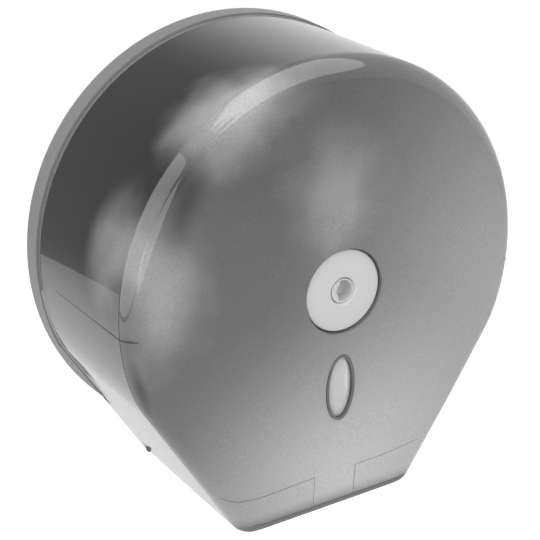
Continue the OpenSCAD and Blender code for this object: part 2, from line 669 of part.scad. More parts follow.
module cover_shell() color([0.45, 0.46, 0.48, 0.6]) out() difference() {
    union() {
        skin_solid(shell_t);
        translate([0, 0, cup_back]) cylinder(d = recess_d + 2 * cup_wall, h = cup_l);
        both_sides() hinge_boss();
        both_sides() guide_rib();
    }
    rotate([90, 0, 90]) translate([0, 0, -far / 2]) linear_extrude(far) polygon([
        [notch_end, -1], [notch_end, lip_z], [plate_r, lip_z + seam_rise], [far, lip_z + seam_rise], [far, -1],
    ]);
    difference() {
        translate([-far / 2, hinge_up - far, -1]) cube([far, far, hinge_y + 1]);
        translate([-far, hinge_up, hinge_y]) rotate([0, 90, 0]) cylinder(r = swing_r, h = 2 * far);
    }
    translate([0, -drop - shell_t, 0]) rotate([-90, 0, 0]) mirror([0, 1, 0]) linear_extrude(mouth_cut)
        polygon([
            [-mouth_back_x, -1], [mouth_back_x, -1], [mouth_mid_x, corner_start], [mouth_front_x, mouth_front_z],
            [-mouth_front_x, mouth_front_z], [-mouth_mid_x, corner_start],
        ]);
    both_sides() translate([boss_x - 1, hinge_up, hinge_y]) rotate([0, 90, 0])
        cylinder(r = pin_d / 2 + run_fit, h = pin_in + free_gap + 1.5);
    recess_cut();
    for (a = [90:120:330]) rotate([0, 0, a]) translate([housing_screw_pcd / 2, 0, cup_back - 1])
        cylinder(d = housing_screw_d, h = 4 + cup_floor);
    translate([0, window_z, cover_depth - far / 2]) linear_extrude(far) oval(window_w, window_h);
}

back_plate();
spindle_post();
spindle_screws();
thrust_washer();
core_adapter();
adapter_clip();
lock_strike();
strike_screws();
hinge_pins();
cover_shell();
window_frame();
window_lens();
tear_bar_left();
tear_bar_right();
lock_disc();
lock_housing();
housing_screws();
lock_barrel();
barrel_clip();
lock_cam();
cam_screw();
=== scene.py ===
"""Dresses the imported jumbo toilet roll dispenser: finer forms, finishes, floor, lamps and camera."""

from __future__ import annotations

import logging
import math
from dataclasses import dataclass, field
from enum import Enum
from functools import reduce
from typing import Iterable, Sequence

import bmesh
import bpy
import numpy as np
from mathutils import Matrix, Quaternion, Vector


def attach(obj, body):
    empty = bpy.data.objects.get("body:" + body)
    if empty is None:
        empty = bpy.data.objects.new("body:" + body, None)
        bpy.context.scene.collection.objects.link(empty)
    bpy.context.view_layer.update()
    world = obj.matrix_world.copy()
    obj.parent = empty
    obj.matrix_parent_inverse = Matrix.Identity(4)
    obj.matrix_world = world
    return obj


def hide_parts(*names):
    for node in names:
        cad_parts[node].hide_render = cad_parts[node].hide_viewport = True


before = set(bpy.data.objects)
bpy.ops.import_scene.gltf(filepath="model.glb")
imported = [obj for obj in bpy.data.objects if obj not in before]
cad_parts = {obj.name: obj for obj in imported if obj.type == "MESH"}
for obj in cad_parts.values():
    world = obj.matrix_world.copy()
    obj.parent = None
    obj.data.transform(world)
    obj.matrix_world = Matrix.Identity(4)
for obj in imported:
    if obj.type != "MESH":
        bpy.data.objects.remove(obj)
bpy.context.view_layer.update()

LOG = logging.getLogger("dispenser")
MM = 0.001
# Edges over this angle stay sharp.
SHARP = math.radians(32)
# Points nearer than this, in metres, are one.
WELD = 1e-7
# Sizes of cutting tools, in millimetres: larger than the part, how far a tool starts outside what it
# cuts, and how far a line's tool stands out of the surface.
BIG = 400.0
PAST = 1.0
PROUD = 0.6
# Radius that stands for the axis in a turned profile, and points round a rod.
AXIS = 0.001
ROD_STEPS = 64

Point = Sequence[float]
Triple = tuple[float, float, float]
Obj = bpy.types.Object
Tree = bpy.types.NodeTree
Socket = bpy.types.NodeSocket


# Mesh helpers. Drawings use millimetres: x across, y up, z away from the wall.


def to_metres(points: Iterable[Point]) -> list[Triple]:
    """Turns drawing points into metres in the part's own frame.

    Args:
        points: Points as (across, up, out from the wall), in millimetres.

    Returns:
        The same points in metres, with the wall's outward direction along -Y.
    """
    return [(x * MM, -z * MM, y * MM) for x, y, z in points]


def make_object(name: str, points: Iterable[Point], faces: Sequence[Sequence[int]]) -> Obj:
    """Makes a mesh object from drawing points.

    Args:
        name: The object's name.
        points: Points in the drawing's millimetres.
        faces: Corner numbers of each face.

    Returns:
        The new object, linked to the scene.
    """
    mesh = bpy.data.meshes.new(name)
    mesh.from_pydata(to_metres(points), [], [list(f) for f in faces])
    mesh.validate()
    obj = bpy.data.objects.new(name, mesh)
    bpy.context.scene.collection.objects.link(obj)
    return obj


def outward(obj: Obj) -> Obj:
    """Welds a closed mesh and turns its faces outwards.

    Args:
        obj: The object whose mesh is changed.

    Returns:
        The same object.
    """
    work = bmesh.new()
    work.from_mesh(obj.data)
    bmesh.ops.remove_doubles(work, verts=work.verts, dist=WELD)
    bmesh.ops.recalc_face_normals(work, faces=work.faces)
    if work.calc_volume(signed=True) < 0:
        bmesh.ops.reverse_faces(work, faces=work.faces)
    work.to_mesh(obj.data)
    work.free()
    return obj


def revolve(name: str, profile: Sequence[Point], steps: int = 128) -> Obj:
    """Turns a closed profile about the roll's axis.

    Args:
        name: The object's name.
        profile: Points (radius, distance from the wall), closed end to start.
        steps: Number of steps round the axis.

    Returns:
        The turned object.
    """
    count = len(profile)
    points, faces = [], []
    for i in range(steps):
        a = 2 * math.pi * i / steps
        points.extend((r * math.cos(a), r * math.sin(a), z) for r, z in profile)
        here, there = i * count, ((i + 1) % steps) * count
        for j in range(count):
            k = (j + 1) % count
            faces.append((here + j, here + k, there + k, there + j))
    return outward(make_object(name, points, faces))


class Along(Enum):
    """The direction in which a flat drawing is drawn out, with the order of its own two axes."""

    OUT = (0, 1, 2)
    ACROSS = (1, 2, 0)
    UP = (0, 2, 1)


def prism(name: str, outline: Sequence[Point], low: float, high: float, along: Along = Along.OUT) -> Obj:
    """Draws a flat outline out between two positions.

    Args:
        name: The object's name.
        outline: Points in the plane square to the direction.
        low: Where it starts along the direction.
        high: Where it ends.
        along: The direction.

    Returns:
        The closed prism.
    """
    n = len(outline)
    points = np.zeros((2 * n, 3))
    points[:, along.value[:2]] = list(outline) * 2
    points[:n, along.value[2]] = low
    points[n:, along.value[2]] = high
    faces = [(i, (i + 1) % n, n + (i + 1) % n, n + i) for i in range(n)]
    faces += [tuple(reversed(range(n))), tuple(range(n, 2 * n))]
    return outward(make_object(name, points.tolist(), faces))


def block(name: str, low: Point, high: Point) -> Obj:
    """Makes a box between two drawing corners."""
    outline = [(low[0], low[1]), (high[0], low[1]), (high[0], high[1]), (low[0], high[1])]
    return prism(name, outline, low[2], high[2])


def ring(middle: Point, rx: float, ry: float, steps: int) -> list[tuple[float, float]]:
    """Points of an ellipse or circle."""
    turn = [2 * math.pi * i / steps for i in range(steps)]
    return [(middle[0] + rx * math.cos(a), middle[1] + ry * math.sin(a)) for a in turn]


def rod(name: str, x_from: float, x_to: float, middle: Point, r: float) -> Obj:
    """Makes a round rod that lies across, with its axis at the given height and distance from the wall."""
    return prism(name, ring(middle, r, r, ROD_STEPS), x_from, x_to, Along.ACROSS)


def channel(name: str, rails: Sequence[np.ndarray]) -> Obj:
    """Makes a closed strip between four lines that run side by side.

    Args:
        name: The object's name.
        rails: Four lines of equally many points, in order round the strip's section.

    Returns:
        The closed strip.
    """
    points = np.stack(rails, axis=1)
    last = 4 * (len(points) - 1)
    faces = []
    for i in range(0, last, 4):
        faces += [(i + j, i + (j + 1) % 4, i + 4 + (j + 1) % 4, i + 4 + j) for j in range(4)]
    faces += [(3, 2, 1, 0), tuple(last + j for j in range(4))]
    return outward(make_object(name, points.reshape(-1, 3).tolist(), faces))


def along_line(points: Sequence[Point], step: float) -> np.ndarray:
    """Walks along a bent line.

    Args:
        points: The line's corners.
        step: About how far apart the new points lie.

    Returns:
        Points along the line, its corners among them.
    """
    line = [np.array(points[0], float)]
    for a, b in zip(points, points[1:]):
        a, b = np.array(a, float), np.array(b, float)
        n = max(1, round(float(np.linalg.norm(b - a)) / step))
        line += [a + (b - a) * k / n for k in range(1, n + 1)]
    return np.array(line)


class Cut(Enum):
    """What a boolean does with its tool."""

    TAKE = "DIFFERENCE"
    ADD = "UNION"


def carve(obj: Obj, tools: Sequence[Obj], how: Cut) -> Obj:
    """Applies tools to an object one after another and deletes them.

    Args:
        obj: The object to change.
        tools: Closed meshes.
        how: Whether each tool is taken away or added.

    Returns:
        The changed object.
    """
    for tool in tools:
        step = obj.modifiers.new("step", "BOOLEAN")
        step.operation = how.value
        step.solver = "MANIFOLD"
        step.object = tool
        graph = bpy.context.evaluated_depsgraph_get()
        mesh = bpy.data.meshes.new_from_object(obj.evaluated_get(graph))
        obj.modifiers.clear()
        old = obj.data
        obj.data = mesh
        mesh.name = obj.name
        bpy.data.meshes.remove(old)
        bpy.data.objects.remove(tool)
    return obj


# Node helpers and the effects that several finishes share.


def new_group(name: str, inputs: dict[str, float], outputs: Sequence[str]) -> Tree:
    """Starts a node group with float inputs and outputs.

    Args:
        name: The group's name.
        inputs: Input names with their default values.
        outputs: Output names.

    Returns:
        The node tree, with its input and output nodes placed.
    """
    tree = bpy.data.node_groups.new(name, "ShaderNodeTree")
    for label, value in inputs.items():
        socket = tree.interface.new_socket(label, in_out="INPUT", socket_type="NodeSocketFloat")
        socket.default_value = value
    for label in outputs:
        tree.interface.new_socket(label, in_out="OUTPUT", socket_type="NodeSocketFloat")
    tree.nodes.new("NodeGroupInput").name = "in"
    tree.nodes.new("NodeGroupOutput").name = "out"
    return tree


def fill(node: bpy.types.Node, values: dict[str, object]) -> None:
    """Sets a node's inputs to plain values by their names."""
    for label, value in values.items():
        node.inputs[label].default_value = value


def supply(tree: Tree, slot: Socket, value: Socket | float) -> None:
    """Gives an input a number or a link.

    Args:
        tree: The node tree.
        slot: The input.
        value: A number, or the socket to link.
    """
    if isinstance(value, (int, float)):
        slot.default_value = value
    else:
        tree.links.new(value, slot)


def math_node(tree: Tree, kind: str, a: Socket | float, b: Socket | float) -> Socket:
    """Adds a Math node.

    Args:
        tree: The node tree.
        kind: The operation.
        a: The first input, a socket or a number.
        b: The second input.

    Returns:
        The node's result.
    """
    node = tree.nodes.new("ShaderNodeMath")
    node.operation = kind
    supply(tree, node.inputs[0], a)
    supply(tree, node.inputs[1], b)
    return node.outputs[0]


def add_up(tree: Tree, terms: Sequence[Socket]) -> Socket:
    """Adds sockets one after another and returns their sum."""
    return reduce(lambda a, b: math_node(tree, "ADD", a, b), terms)


def swing(tree: Tree, value: Socket, reach: Socket) -> Socket:
    """Turns a value about 0.5 into one about 0 that swings as far as reach says."""
    return math_node(tree, "MULTIPLY", math_node(tree, "SUBTRACT", value, 0.5), reach)


def noise(tree: Tree, where: Socket, scale: Socket | float, detail: float, output: str = "Fac") -> Socket:
    """Adds a noise texture.

    Args:
        tree: The node tree.
        where: The coordinates.
        scale: How fine the noise is, a socket or a number.
        detail: How many finer layers it has.
        output: Which of its outputs is wanted.

    Returns:
        That output.
    """
    node = tree.nodes.new("ShaderNodeTexNoise")
    fill(node, {"Detail": detail})
    tree.links.new(where, node.inputs["Vector"])
    supply(tree, node.inputs["Scale"], scale)
    return node.outputs[output]


@dataclass(frozen=True)
class Patch:
    """A soft patch of painted light on the cover, or of painted shade where its lift is below zero, placed in
    millimetres across, up and out from the wall.
    """

    middle: Triple
    reach: Triple
    lift: float
    lean: float = 0.0


# Painted highlights: light patches round the rounded edge, whose outlines are bent by noise.
EDGE_PAINTED_HIGHLIGHTS = (
    Patch((-68, 99, 108), (48, 34, 38), 0.36),
    Patch((-48, 106, 118), (40, 22, 28), 0.21),
    Patch((-118, 36, 92), (30, 42, 26), 0.22),
    Patch((-104, 20, 119), (36, 50, 36), 0.3),
    Patch((-8, 56, 119), (42, 46, 40), 0.22),
)
# Painted shade: dark streaks just inside that edge.
PAINTED_SHADE_STREAKS = (
    Patch((-92, 56, 117), (10, 42, 16), -0.05, lean=23),
    Patch((-94, 62, 117), (18, 50, 22), -0.035, lean=23),
    Patch((-116, -30, 115), (4, 26, 10), -0.09, lean=-14),
)
# Painted light and painted shade: the front is painted lighter downwards and to the right, and painted dark
# along the bottom edge.
BROAD_PAINTED_LIGHT = (
    Patch((2, -125, 110), (140, 140, 110), 0.48),
    Patch((130, -20, 110), (190, 230, 90), 0.32),
    Patch((0, -139, 117), (170, 15, 40), -0.5),
)


@dataclass(frozen=True)
class Effects:
    """Node groups that several finishes place, each built once."""

    bend_scale: float = 28.0
    bend_reach: float = 0.04
    speckle_scale: float = 1100.0
    darkest: float = 0.02
    streak_stretch: float = 0.06

    @staticmethod
    def patch_lift(tree: Tree, where: Socket, patch: Patch) -> Socket:
        """Adds the nodes for one patch.

        Args:
            tree: The group's nodes.
            where: The coordinates, in metres.
            patch: The patch.

        Returns:
            How much the patch lifts the tone.
        """
        shift = tree.nodes.new("ShaderNodeMapping")
        shift.vector_type = "TEXTURE"
        place = {"Location": to_metres([patch.middle])[0], "Rotation": (0.0, math.radians(patch.lean), 0.0)}
        fill(shift, place | {"Scale": [abs(v) for v in to_metres([patch.reach])[0]]})
        tree.links.new(where, shift.inputs["Vector"])
        far = tree.nodes.new("ShaderNodeVectorMath")
        far.operation = "LENGTH"
        tree.links.new(shift.outputs[0], far.inputs[0])
        fade = tree.nodes.new("ShaderNodeMapRange")
        fade.interpolation_type = "SMOOTHSTEP"
        fill(fade, {"To Min": patch.lift, "To Max": 0.0})
        tree.links.new(far.outputs["Value"], fade.inputs["Value"])
        return fade.outputs[0]

    def build_painted_light(self) -> None:
        """Builds the painted light: the cover's tone, lifted by painted highlights and lowered by painted
        shade in soft, grainy patches.
        """
        inputs = {"Clear Tone": 0.1, "Edge Patches": 1.0, "Broad Patches": 1.0, "Grain": 0.6}
        tree = new_group("frost_clouds", inputs, ("Tone",))
        given = tree.nodes["in"].outputs
        where = tree.nodes.new("ShaderNodeTexCoord").outputs["Object"]
        bend = tree.nodes.new("ShaderNodeVectorMath")
        bend.operation = "MULTIPLY_ADD"
        tree.links.new(noise(tree, where, self.bend_scale, 2.0, "Color"), bend.inputs[0])
        bend.inputs[1].default_value = (self.bend_reach,) * 3
        bend.inputs[2].default_value = (-self.bend_reach / 2,) * 3
        bent = tree.nodes.new("ShaderNodeVectorMath")
        tree.links.new(where, bent.inputs[0])
        tree.links.new(bend.outputs[0], bent.inputs[1])
        kinds = (
            (EDGE_PAINTED_HIGHLIGHTS, bent.outputs[0], "Edge Patches"),
            (PAINTED_SHADE_STREAKS, where, "Edge Patches"),
            (BROAD_PAINTED_LIGHT, where, "Broad Patches"),
        )
        sums = []
        for patches, place, label in kinds:
            lifts = [self.patch_lift(tree, place, patch) for patch in patches]
            sums.append(math_node(tree, "MULTIPLY", add_up(tree, lifts), given[label]))
        speckle = swing(tree, noise(tree, where, self.speckle_scale, 2.0), given["Grain"])
        lit = math_node(tree, "ADD", given["Clear Tone"], add_up(tree, sums))
        tone = math_node(tree, "MAXIMUM", lit, self.darkest)
        tone = math_node(tree, "MULTIPLY", tone, math_node(tree, "ADD", speckle, 1.0))
        tree.links.new(tone, tree.nodes["out"].inputs["Tone"])

    def build_grain(self) -> None:
        """Builds the mould grain: a fine height, with roughness that wanders in soft patches."""
        inputs = {"Grain Scale": 2500.0, "Patch Scale": 18.0, "Roughness": 0.4, "Spread": 0.1}
        tree = new_group("mould_grain", inputs, ("Height", "Roughness", "Tone"))
        given = tree.nodes["in"].outputs
        where = tree.nodes.new("ShaderNodeTexCoord").outputs["Object"]
        fine = noise(tree, where, given["Grain Scale"], 2.0)
        patch = noise(tree, where, given["Patch Scale"], 3.0)
        swings = [swing(tree, value, given["Spread"]) for value in (patch, fine)]
        out = tree.nodes["out"].inputs
        tree.links.new(fine, out["Height"])
        tree.links.new(add_up(tree, [given["Roughness"], *swings]), out["Roughness"])
        tree.links.new(patch, out["Tone"])

    def build_brushing(self) -> None:
        """Builds plated metal: streaks drawn out along one direction."""
        inputs = {"Streak Scale": 900.0, "Roughness": 0.3, "Spread": 0.15}
        tree = new_group("plated_streaks", inputs, ("Height", "Roughness", "Tone"))
        given = tree.nodes["in"].outputs
        stretch = tree.nodes.new("ShaderNodeMapping")
        fill(stretch, {"Scale": (1.0, 1.0, self.streak_stretch)})
        tree.links.new(tree.nodes.new("ShaderNodeTexCoord").outputs["Object"], stretch.inputs["Vector"])
        streak = noise(tree, stretch.outputs[0], given["Streak Scale"], 2.0)
        rough = add_up(tree, [given["Roughness"], swing(tree, streak, given["Spread"])])
        for label, value in (("Height", streak), ("Roughness", rough), ("Tone", streak)):
            tree.links.new(value, tree.nodes["out"].inputs[label])

    def build(self) -> None:
        """Builds every group."""
        for group in (self.build_grain, self.build_brushing, self.build_painted_light):
            group()


class Grain(Enum):
    """Which shared effect a finish wears, with the input that sets its scale."""

    MOULDED = ("mould_grain", "Grain Scale")
    PLATED = ("plated_streaks", "Streak Scale")


# The materials built so far, by their finish's name.
MADE: dict[str, bpy.types.Material] = {}


@dataclass(frozen=True)
class Finish:
    """One material: its plain values and how its grain varies over the surface."""

    name: str
    colour: Triple
    roughness: float
    grain: Grain = Grain.MOULDED
    grain_mm: float = 0.5
    height_mm: float = 0.004
    spread: float = 0.1
    tone: float = 0.03
    metallic: float = 0.0
    transmission: float = 0.0
    ior: float = 1.46
    coat: float = 0.0
    coat_roughness: float = 0.05
    coat_ior: float = 1.5
    specular: float = 0.5
    # How strongly the painted highlights and shade round the edge, and the broad painted light and shade over
    # the front, tint the colour.
    edge_painted_light: float = 0.0
    broad_painted_light: float = 0.0

    def colouring(self, tree: Tree, tone: Socket) -> Socket:
        """Adds what varies the colour and returns it.

        Args:
            tree: The material's nodes.
            tone: The grain's slow wander between 0 and 1.

        Returns:
            The socket for Base Color.
        """
        # The cover's colour with its painted highlights and painted shade.
        if self.edge_painted_light > 0:
            painted_light_node = tree.nodes.new("ShaderNodeGroup")
            painted_light_node.node_tree = bpy.data.node_groups["frost_clouds"]
            patches = {"Edge Patches": self.edge_painted_light, "Broad Patches": self.broad_painted_light}
            fill(painted_light_node, {"Clear Tone": self.colour[0]} | patches)
            return painted_light_node.outputs["Tone"]
        shade = tree.nodes.new("ShaderNodeMapRange")
        fill(shade, {"To Min": 1.0 - self.tone, "To Max": 1.0 + self.tone})
        tree.links.new(tone, shade.inputs["Value"])
        tint = tree.nodes.new("ShaderNodeVectorMath")
        tint.operation = "SCALE"
        tint.inputs[0].default_value = self.colour
        tree.links.new(shade.outputs[0], tint.inputs["Scale"])
        return tint.outputs[0]

    def material(self) -> bpy.types.Material:
        """Builds the finish once.

        Returns:
            Its material.
        """
        if self.name in MADE:
            return MADE[self.name]
        made = MADE[self.name] = bpy.data.materials.new(f"{self.name}_finish")
        made.use_nodes = True
        tree = made.node_tree
        shader = tree.nodes["Principled BSDF"]
        group, scale = self.grain.value
        pattern = tree.nodes.new("ShaderNodeGroup")
        pattern.node_tree = bpy.data.node_groups[group]
        rates = {scale: 1.0 / (self.grain_mm * MM), "Roughness": self.roughness, "Spread": self.spread}
        fill(pattern, rates)
        tree.links.new(pattern.outputs["Roughness"], shader.inputs["Roughness"])
        tree.links.new(self.colouring(tree, pattern.outputs["Tone"]), shader.inputs["Base Color"])
        bump = tree.nodes.new("ShaderNodeBump")
        fill(bump, {"Distance": self.height_mm * MM})
        tree.links.new(pattern.outputs["Height"], bump.inputs["Height"])
        tree.links.new(bump.outputs[0], shader.inputs["Normal"])
        shader.inputs["Metallic"].default_value = self.metallic
        shader.inputs["IOR"].default_value = self.ior
        shader.inputs["Transmission Weight"].default_value = self.transmission
        shader.inputs["Coat Weight"].default_value = self.coat
        shader.inputs["Coat Roughness"].default_value = self.coat_roughness
        shader.inputs["Coat IOR"].default_value = self.coat_ior
        shader.inputs["Specular IOR Level"].default_value = self.specular
        return made


def grey(value: float, warm: float = 0.0) -> Triple:
    """A grey as a linear colour, a little warmer or cooler."""
    return (value * (1 + warm), value, value * (1 - warm))


def plated(name: str, value: float, warm: float, roughness: float, grain_mm: float, **more: float) -> Finish:
    """A plated or drawn metal with fine streaks."""
    more = {"tone": 0.1} | more
    return Finish(name, grey(value, warm), roughness, Grain.PLATED, grain_mm, metallic=1.0, **more)


PLATE_GREY = Finish("plate_grey", grey(0.24), 0.45, height_mm=0.01, specular=0.35)
# The clear smoke plastic, its colour lifted by painted highlights round the edge and a little broad painted
# light.
SMOKE_CLEAR_PAINTED_LIGHT = Finish(
    "smoke_clear_painted_light",
    grey(0.02),
    0.32,
    grain_mm=0.6,
    height_mm=0.002,
    spread=0.04,
    transmission=0.5,
    coat=1.0,
    coat_roughness=0.02,
    coat_ior=1.7,
    specular=0.1,
    edge_painted_light=2.0,
    broad_painted_light=0.2,
)
# The frosted front, its colour carrying painted highlights and shade round the edge and the broad painted
# light and shade over the front.
SMOKE_FROST_PAINTED_LIGHT = Finish(
    "smoke_frost_painted_light",
    grey(0.10),
    0.45,
    grain_mm=0.45,
    height_mm=0.02,
    spread=0.12,
    transmission=0.25,
    coat=1.0,
    coat_roughness=0.03,
    coat_ior=1.7,
    specular=0.2,
    edge_painted_light=1.0,
    broad_painted_light=1.0,
)
# Painted light: a lighter copy of the smoke plastic, a painted glow on the lock's recess and along the top of
# the band by the seam.
SMOKE_PAINTED_GLOW = Finish("smoke_painted_glow", grey(0.26), 0.3, transmission=0.35)
# Painted shade: a darker copy of the smoke plastic on the lip that faces down and on the middle of the band
# by the seam.
SMOKE_PAINTED_SHADE = Finish("smoke_painted_shade", grey(0.16), 0.4, specular=0.2)
# Painted light: a lighter, opaque copy of the smoke plastic on the lower part of the band by the seam.
SMOKE_PAINTED_LIT_BAND = Finish("smoke_painted_lit_band", grey(0.34), 0.35, specular=0.3)
SMOKE_TRIM = Finish("smoke_trim", grey(0.14), 0.22, tone=0.05)
# Painted shade: a near-black patch on the cover at the tip of each guide rib.
PAINTED_RIB_TIP_SHADE = Finish("dark_trim", grey(0.07), 0.25, tone=0.05)
CLEAR_LENS = Finish(
    "clear_lens", grey(0.92), 0.12, grain_mm=0.8, height_mm=0.002, spread=0.05, tone=0.02, transmission=0.55
)
TEAR_GREY = Finish("tear_grey", grey(0.45), 0.3, transmission=0.5)
LOCK_LIGHT = Finish("lock_light", grey(0.62), 0.38, height_mm=0.006, tone=0.02)
HUB_WHITE = Finish("hub_white", grey(0.78), 0.4, height_mm=0.008)
ZINC_SCREW = plated("zinc_screw", 0.62, 0.02, 0.3, 0.3)
ZINC_PLATE = plated("zinc_plate", 0.6, 0.01, 0.33, 0.4)
SPRING_STEEL = plated("spring_steel", 0.3, -0.02, 0.35, 0.2)
PIN_STEEL = plated("pin_steel", 0.7, 0.0, 0.15, 0.2, spread=0.06, tone=0.05)


def dress(obj: Obj, *finishes: Finish) -> Obj:
    """Gives an object one material slot for each finish, in order.

    Args:
        obj: The object.
        *finishes: What its slots wear.

    Returns:
        The same object.
    """
    obj.data.materials.clear()
    for finish in finishes:
        obj.data.materials.append(finish.material())
    return obj


@dataclass
class Assembly:
    """One sub-assembly, with the CAD nodes that stay as they are and the finish of each."""

    kept: tuple[tuple[str, Finish], ...] = ()

    def build(self) -> None:
        """Dresses the kept nodes and marks their sharp edges, with their points left alone."""
        for node, finish in self.kept:
            dress(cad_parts[node], finish).data.set_sharp_from_angle(angle=SHARP)
            LOG.info("kept %s in %s", node, finish.name)


# The cover.


def ease(t: np.ndarray | float) -> np.ndarray:
    """A step from 0 to 1 with soft ends."""
    u = np.clip(t, 0.0, 1.0)
    return u * u * (3 - 2 * u)


@dataclass
class CoverForm:
    """The cover's outline and rings, in millimetres."""

    radius: float = 133.5
    draft: float = math.radians(5.3)
    depth: float = 120.0
    crown_rise: float = 3.0
    edge_r: float = 10.0
    corner_edge_r: float = 13.0
    crease: float = math.radians(10)
    shell: float = 2.5
    flare: float = math.radians(30.6)
    flare_inset: float = 2.0
    shoulder: float = 80.0
    drop: float = 141.2
    # The bottom corners keep the rear radius up to a share of the side's depth, then widen.
    front_corner: float = 13.0
    rear_corner: float = 5.0
    corner_share: float = 0.55
    corner_bow: float = 1.5
    # Where the rounded edge widens: this far along the bottom, and below this height.
    blend_l: float = 6.0
    blend_top: float = -80.0
    # The seam between the cover and the plate's rim opens from its lower ends to the top.
    back_gap: float = 0.8
    rim_r: float = 135.0
    seam_out: float = 12.25
    seam_rise: float = 1.85
    seam_low: float = -95.7
    seam_bow: float = 1.5
    # The bead along that seam, and where it starts to stand out from the side.
    bead_w: float = 2.0
    bead_h: float = 0.3
    bead_low: float = -88.0
    bead_ease: float = 30.0
    arc_steps: int = 150
    shoulder_steps: int = 12
    corner_steps: int = 16
    flare_steps: int = 14
    bottom_steps: int = 24
    side_steps: int = 14
    round_steps: int = 14
    seam_steps: int = 12
    crown_rings: tuple[float, ...] = (0.96, 0.9, 0.82, 0.72, 0.62, 0.5, 0.38, 0.26, 0.14)

    def __post_init__(self) -> None:
        """Works out where the side ends and how wide the rounded edge is at each point."""
        self.crown_slope = math.atan(2 * self.crown_rise / self.radius)
        self.edge_z = self.depth - self.crown_rise
        self.edge_start = self.draft + self.crease
        self.round_z = self.edge_z - self.edge_r * math.cos(self.crown_slope)
        self.side_end = self.round_z + self.edge_r * math.sin(self.edge_start)
        self.corner_start = self.corner_share * self.side_end
        self.known: dict[tuple[float, float], np.ndarray] = {}
        plan = self.section(self.side_end, 0.0)
        self.bottom_x = self.corner_x(self.flare_r(self.side_end), self.drop, self.front_corner)
        low = (self.blend_top - plan[:, 1]) / (self.drop + self.blend_top)
        wide = (abs(plan[:, 0]) - self.bottom_x + self.blend_l) / (self.front_corner + self.blend_l)
        self.edge_radii = self.edge_r + (self.corner_edge_r - self.edge_r) * ease(np.minimum(low, wide))
        self.round_mid = self.edge_z - self.edge_radii * math.cos(self.crown_slope)
        self.side_stop = self.round_mid + self.edge_radii * math.sin(self.edge_start)

    def side_r(self, z: float) -> float:
        """Radius of the side wall at a distance from the wall."""
        return self.radius - z * math.tan(self.draft)

    def flare_r(self, z: float) -> float:
        """Distance of the flared walls from the axis."""
        return self.side_r(z) - self.flare_inset

    def flare_x(self, r: float, up: float) -> float:
        """Half width at a height of an outline whose flares lie at distance r from the axis."""
        return (r + up * math.sin(self.flare)) / math.cos(self.flare)

    def corner_x(self, r: float, b: float, c: float) -> float:
        """Half the length of the flat bottom between corners of radius c."""
        return (r - c - (b - c) * math.sin(self.flare)) / math.cos(self.flare)

    def corner_at(self, z: float) -> float:
        """Radius of the bottom corners at a distance from the wall."""
        share = max(0.0, (z - self.corner_start) / (self.side_end - self.corner_start))
        return self.rear_corner + (self.front_corner - self.rear_corner) * share**self.corner_bow

    def seam_at(self, up: np.ndarray | float) -> np.ndarray:
        """Distance of the cover's back edge from the wall at a height."""
        share = np.clip((up - self.seam_low) / (self.rim_r - self.seam_low), 0, 1)
        return self.seam_out + self.seam_rise * share**self.seam_bow

    def outline(self, r: float, b: float, c: float, q: float) -> np.ndarray:
        """One closed outline.

        Args:
            r: Radius of the circle.
            b: Distance of the flat bottom below the axis.
            c: Radius of the bottom corners.
            q: Radius of the shoulders between circle and flare.

        Returns:
            Points (across, up).
        """
        f = r - self.flare_inset
        a = math.acos((f - q) / (r - q)) - self.flare
        x, y = (r - q) * math.cos(a), (r - q) * math.sin(a)
        cx = self.corner_x(f, b, c)
        high = np.array([x + q * math.cos(self.flare), y - q * math.sin(self.flare)])
        low = np.array([cx + c * math.cos(self.flare), c - b - c * math.sin(self.flare)])
        flip, half, full = np.array([-1, 1]), math.pi, 2 * math.pi

        def arc(x0: float, y0: float, rad: float, start: float, end: float, n: int, first: int) -> np.ndarray:
            """Points along one arc."""
            t = np.linspace(start, end, n + 1)[first:]
            return np.column_stack([x0 + rad * np.cos(t), y0 + rad * np.sin(t)])

        def line(start: np.ndarray, end: np.ndarray, n: int) -> np.ndarray:
            """Points strictly between two others."""
            return start + np.linspace(0, 1, n + 2)[1:-1, None] * (end - start)

        return np.vstack([
            arc(x, y, q, -self.flare, a, self.shoulder_steps, 0),
            arc(0, 0, r, a, half - a, self.arc_steps, 1),
            arc(-x, y, q, half - a, half + self.flare, self.shoulder_steps, 1),
            line(high * flip, low * flip, self.flare_steps),
            arc(-cx, c - b, c, half + self.flare, 1.5 * half, self.corner_steps, 0),
            line(np.array([-cx, -b]), np.array([cx, -b]), self.bottom_steps),
            arc(cx, c - b, c, 1.5 * half, full - self.flare, self.corner_steps, 0),
            line(low, high, self.flare_steps),
        ])

    def section(self, z: float, s: float) -> np.ndarray:
        """The cover's outline at one depth.

        Args:
            z: Distance from the wall.
            s: How far the outline is drawn in.

        Returns:
            Points (across, up).
        """
        key = (round(float(z), 4), round(float(s), 4))
        if key not in self.known:
            z, s = key
            corner = max(self.corner_at(z) - s, 1.0)
            self.known[key] = self.outline(self.side_r(z) - s, self.drop - s, corner, self.shoulder - s)
        return self.known[key]

    def ring_at(self, z: np.ndarray, s: np.ndarray, out: np.ndarray | None = None) -> np.ndarray:
        """One ring whose points each have their own distance from the wall and their own inset.

        Args:
            z: Distance from the wall at which each point's outline is taken.
            s: Inset of each point.
            out: Distance from the wall at which each point is put, where that differs from z.

        Returns:
            Points (across, up, out from the wall).
        """
        plan = np.array([self.section(zk, sk)[k] for k, (zk, sk) in enumerate(zip(z, s))])
        return np.column_stack([plan, z if out is None else out])

    def round_ring(self, turn: float, deep: float) -> np.ndarray:
        """The ring at one turn round the rounded edge.

        Args:
            turn: How far round the edge it lies, from the side wall's direction.
            deep: How far inside the outer surface it lies.

        Returns:
            Points (across, up, out from the wall).
        """
        r = self.edge_radii - deep
        inset = self.edge_radii * math.cos(self.edge_start) - r * math.cos(turn)
        return self.ring_at(self.side_stop, inset, self.round_mid + r * math.sin(turn))

